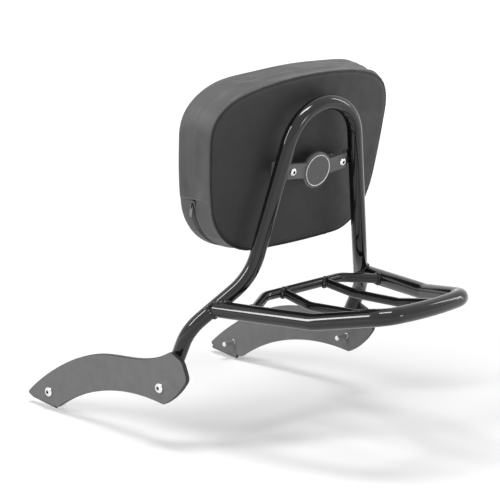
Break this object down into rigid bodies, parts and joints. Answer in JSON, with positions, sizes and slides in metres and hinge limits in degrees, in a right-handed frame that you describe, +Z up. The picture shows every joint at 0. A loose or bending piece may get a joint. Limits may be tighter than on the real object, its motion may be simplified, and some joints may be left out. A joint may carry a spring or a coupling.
{
  "type": "sissy bar",
  "caption": "Passenger backrest hoop for a motorbike with a padded backrest, a small rear luggage rack and curved side plates that bolt to the fender struts.",
  "frame": {"origin": "midway between the two rear mounting screws, on the line through their axes", "axes": "+X to the rider's right, +Y to the front of the motorbike, +Z up"},
  "size_m": [0.3638, 0.608, 0.4961],
  "materials": {
    "gloss_black": "gloss black coat",
    "satin_black": "satin black coat",
    "bright_screw": "bright",
    "grained_cover": "grained vinyl",
    "back_cover": "smooth vinyl",
    "badge_face": "gloss black",
    "badge_rim": "bright",
    "spacer_steel": "zinc plated",
    "foam": "open foam",
    "board": "plywood",
    "zip_cloth": "woven tape",
    "zip_teeth": "moulded coil",
    "zip_metal": "dark metal"
  },
  "bodies": {
    "frame": {"badge_disc": "badge_face", "badge_ring": "badge_rim", "hoop_tube": "gloss_black", "left_mounting_screws": "bright_screw", "left_rack_rail": "gloss_black", "left_side_plate": "satin_black", "pad_back_panel": "back_cover", "pad_backing_board": "board", "pad_bracket": "satin_black", "pad_foam": "foam", "pad_front_panel": "grained_cover", "pad_gusset": "grained_cover", "pad_inserts": "spacer_steel", "pad_screws": "bright_screw", "pad_spacers": "spacer_steel", "rack_cross_tube": "gloss_black", "rack_loop": "gloss_black", "right_mounting_screws": "bright_screw", "right_rack_rail": "gloss_black", "right_side_plate": "satin_black", "zip_chain": "zip_teeth", "zip_gusset_front": "grained_cover", "zip_gusset_rear": "grained_cover", "zip_slider": "zip_metal", "zip_tape": "zip_cloth"},
    "zip_pull": {"zip_pull": "zip_metal"}
  },
  "joints": [
    {"name": "zip_pull_hinge", "type": "hinge", "parent": "frame", "child": "zip_pull", "pos_m": [-0.15224, -0.03691, 0.24964], "axis": [0, 0.9882, 0.153], "range_deg": [-6, 165]}
  ]
}
